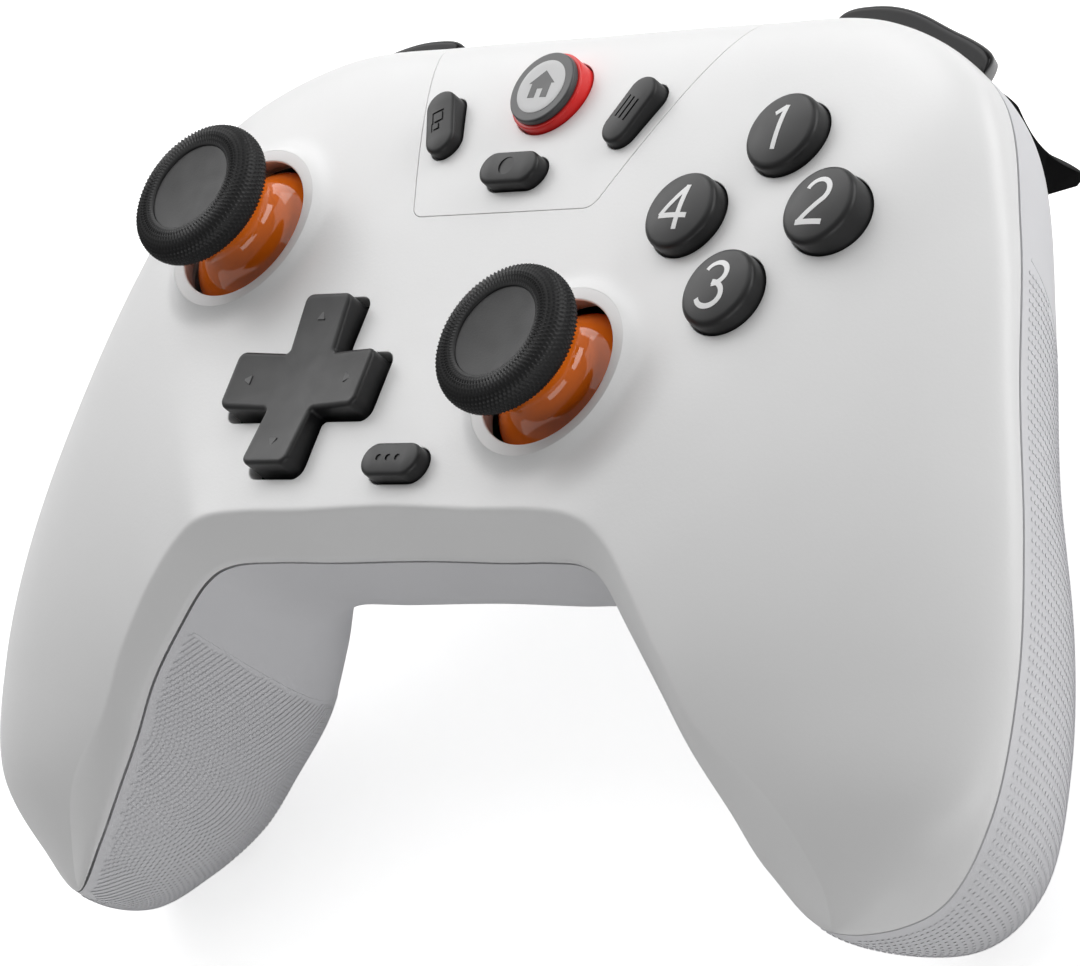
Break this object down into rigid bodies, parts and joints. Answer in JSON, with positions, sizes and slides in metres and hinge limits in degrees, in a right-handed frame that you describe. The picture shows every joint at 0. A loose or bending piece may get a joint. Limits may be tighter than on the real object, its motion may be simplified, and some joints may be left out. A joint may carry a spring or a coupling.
{
  "type": "gamepad controller",
  "caption": "Wireless gamepad with two grips, offset thumbsticks, a cross pad, domed face buttons, shoulder bumpers and analogue triggers.",
  "frame": {"origin": "centre of the bounding box's footprint, at the level of the lowest points of the grips' backs", "axes": "+X to the player's right, +Y towards the bumpers and triggers, +Z out of the face with the buttons"},
  "size_m": [0.159, 0.1052, 0.0577],
  "materials": {
    "front_white": "satin moulded",
    "panel_white": "smooth satin",
    "back_grey": "fine dotted texture on the grips",
    "ring_grey": "smooth",
    "cap_rubber": "knurled rim",
    "dome_orange": "glossy",
    "button_black": "semi-gloss",
    "bumper_black": "glossy",
    "trigger_black": "satin",
    "home_dark": "semi-gloss",
    "home_red": "translucent red",
    "steel": "plain",
    "inner_plastic": "moulded",
    "pad_rubber": "silicone",
    "board_green": "solder mask",
    "battery_wrap": "foil wrap",
    "socket_steel": "plated"
  },
  "bodies": {
    "body": {"front_shell": "front_white", "back_shell": "back_grey", "centre_panel": "panel_white", "left_stick_ring": "ring_grey", "right_stick_ring": "ring_grey", "left_stick_housing": "steel", "right_stick_housing": "steel", "left_stick_sensors": "inner_plastic", "right_stick_sensors": "inner_plastic", "dpad_seat": "inner_plastic", "dpad_pad": "pad_rubber", "face_button_pad": "pad_rubber", "tact_switches": "inner_plastic", "bumper_pins": "steel", "bumper_switches": "inner_plastic", "left_trigger_bracket": "inner_plastic", "right_trigger_bracket": "inner_plastic", "left_trigger_shaft": "steel", "right_trigger_shaft": "steel", "left_trigger_spring": "steel", "right_trigger_spring": "steel", "main_board": "board_green", "battery": "battery_wrap", "left_rumble_motor": "steel", "right_rumble_motor": "steel", "usb_socket": "socket_steel", "shell_screws": "steel", "board_screws": "steel"},
    "left_stick_frame": {"left_stick_gimbal": "inner_plastic"},
    "left_stick_carrier": {"left_stick_block": "inner_plastic"},
    "left_stick": {"left_stick_cap": "cap_rubber", "left_stick_dome": "dome_orange", "left_stick_shaft": "steel"},
    "left_stick_swing": {"left_stick_rocker": "inner_plastic"},
    "right_stick_frame": {"right_stick_gimbal": "inner_plastic"},
    "right_stick_carrier": {"right_stick_block": "inner_plastic"},
    "right_stick": {"right_stick_cap": "cap_rubber", "right_stick_dome": "dome_orange", "right_stick_shaft": "steel"},
    "right_stick_swing": {"right_stick_rocker": "inner_plastic"},
    "dpad_axle": {"dpad_pivot": "steel"},
    "dpad": {"dpad_cross": "button_black"},
    "button_1": {"face_button_1": "button_black"},
    "button_2": {"face_button_2": "button_black"},
    "button_3": {"face_button_3": "button_black"},
    "button_4": {"face_button_4": "button_black"},
    "home": {"home_button": "home_dark", "home_ring": "home_red"},
    "view": {"view_button": "button_black"},
    "menu": {"menu_button": "button_black"},
    "share": {"share_button": "button_black"},
    "mode": {"mode_button": "button_black"},
    "right_shoulder": {"right_bumper": "bumper_black"},
    "right_finger": {"right_trigger": "trigger_black"},
    "right_rotor": {"right_rumble_weight": "steel"},
    "left_shoulder": {"left_bumper": "bumper_black"},
    "left_finger": {"left_trigger": "trigger_black"},
    "left_rotor": {"left_rumble_weight": "steel"}
  },
  "joints": [
    {"name": "left_stick_tilt_up_down", "type": "hinge", "parent": "body", "child": "left_stick_frame", "pos_m": [-0.0418, 0.02058, 0.03707], "axis": [1, 0, 0], "range_deg": [-15, 15], "stiffness_Nm_per_rad": 0.02},
    {"name": "left_stick_tilt_sideways", "type": "hinge", "parent": "left_stick_frame", "child": "left_stick_carrier", "pos_m": [-0.0418, 0.02058, 0.03707], "axis": [0, 1, 0], "range_deg": [-15, 15], "stiffness_Nm_per_rad": 0.02},
    {"name": "left_stick_click", "type": "slide", "parent": "left_stick_carrier", "child": "left_stick", "axis": [0, 0, -1], "range_m": [0, 0.0004], "stiffness_N_per_m": 300},
    {"name": "left_stick_rocker_swing", "type": "hinge", "parent": "body", "child": "left_stick_swing", "pos_m": [-0.0418, 0.02058, 0.03707], "axis": [0, 1, 0], "range_deg": [-15, 15]},
    {"name": "right_stick_tilt_up_down", "type": "hinge", "parent": "body", "child": "right_stick_frame", "pos_m": [0.0186, -0.00052, 0.03707], "axis": [1, 0, 0], "range_deg": [-15, 15], "stiffness_Nm_per_rad": 0.02},
    {"name": "right_stick_tilt_sideways", "type": "hinge", "parent": "right_stick_frame", "child": "right_stick_carrier", "pos_m": [0.0186, -0.00052, 0.03707], "axis": [0, 1, 0], "range_deg": [-15, 15], "stiffness_Nm_per_rad": 0.02},
    {"name": "right_stick_click", "type": "slide", "parent": "right_stick_carrier", "child": "right_stick", "axis": [0, 0, -1], "range_m": [0, 0.0004], "stiffness_N_per_m": 300},
    {"name": "right_stick_rocker_swing", "type": "hinge", "parent": "body", "child": "right_stick_swing", "pos_m": [0.0186, -0.00052, 0.03707], "axis": [0, 1, 0], "range_deg": [-15, 15]},
    {"name": "dpad_tilt_up_down", "type": "hinge", "parent": "body", "child": "dpad_axle", "pos_m": [-0.0198, -0.00122, 0.03807], "axis": [1, 0, 0], "range_deg": [-3, 3], "stiffness_Nm_per_rad": 0.03},
    {"name": "dpad_tilt_sideways", "type": "hinge", "parent": "dpad_axle", "child": "dpad", "pos_m": [-0.0198, -0.00122, 0.03807], "axis": [0, 1, 0], "range_deg": [-3, 3], "stiffness_Nm_per_rad": 0.03},
    {"name": "button_1_press", "type": "slide", "parent": "body", "child": "button_1", "axis": [0, 0, -1], "range_m": [0, 0.0012], "stiffness_N_per_m": 150},
    {"name": "button_2_press", "type": "slide", "parent": "body", "child": "button_2", "axis": [0, 0, -1], "range_m": [0, 0.0012], "stiffness_N_per_m": 150},
    {"name": "button_3_press", "type": "slide", "parent": "body", "child": "button_3", "axis": [0, 0, -1], "range_m": [0, 0.0012], "stiffness_N_per_m": 150},
    {"name": "button_4_press", "type": "slide", "parent": "body", "child": "button_4", "axis": [0, 0, -1], "range_m": [0, 0.0012], "stiffness_N_per_m": 150},
    {"name": "home_press", "type": "slide", "parent": "body", "child": "home", "axis": [0, 0, -1], "range_m": [0, 0.0005], "stiffness_N_per_m": 150},
    {"name": "view_press", "type": "slide", "parent": "body", "child": "view", "axis": [0, 0, -1], "range_m": [0, 0.0005], "stiffness_N_per_m": 150},
    {"name": "menu_press", "type": "slide", "parent": "body", "child": "menu", "axis": [0, 0, -1], "range_m": [0, 0.0005], "stiffness_N_per_m": 150},
    {"name": "share_press", "type": "slide", "parent": "body", "child": "share", "axis": [0, 0, -1], "range_m": [0, 0.0005], "stiffness_N_per_m": 150},
    {"name": "mode_press", "type": "slide", "parent": "body", "child": "mode", "axis": [0, 0, -1], "range_m": [0, 0.0005], "stiffness_N_per_m": 150},
    {"name": "right_bumper_press", "type": "hinge", "parent": "body", "child": "right_shoulder", "pos_m": [0.03355, 0.04675, 0.03207], "axis": [0, 0, -1], "range_deg": [0, 2.5], "stiffness_Nm_per_rad": 0.05},
    {"name": "right_trigger_pull", "type": "hinge", "parent": "body", "child": "right_finger", "pos_m": [0.044, 0.03588, 0.03408], "axis": [-1, 0, 0], "range_deg": [0, 18], "stiffness_Nm_per_rad": 0.03},
    {"name": "right_rumble_spin", "type": "hinge", "parent": "body", "child": "right_rotor", "pos_m": [0.059, -0.02562, 0.01908], "axis": [0, 1, 0], "continuous": true},
    {"name": "left_bumper_press", "type": "hinge", "parent": "body", "child": "left_shoulder", "pos_m": [-0.03355, 0.04675, 0.03207], "axis": [0, 0, 1], "range_deg": [0, 2.5], "stiffness_Nm_per_rad": 0.05},
    {"name": "left_trigger_pull", "type": "hinge", "parent": "body", "child": "left_finger", "pos_m": [-0.044, 0.03588, 0.03408], "axis": [-1, 0, 0], "range_deg": [0, 18], "stiffness_Nm_per_rad": 0.03},
    {"name": "left_rumble_spin", "type": "hinge", "parent": "body", "child": "left_rotor", "pos_m": [-0.059, -0.02562, 0.01908], "axis": [0, 1, 0], "continuous": true}
  ],
  "couplings": [
    {"joint": "left_stick_rocker_swing", "follows": "left_stick_tilt_sideways", "ratio": 1},
    {"joint": "right_stick_rocker_swing", "follows": "right_stick_tilt_sideways", "ratio": 1}
  ]
}
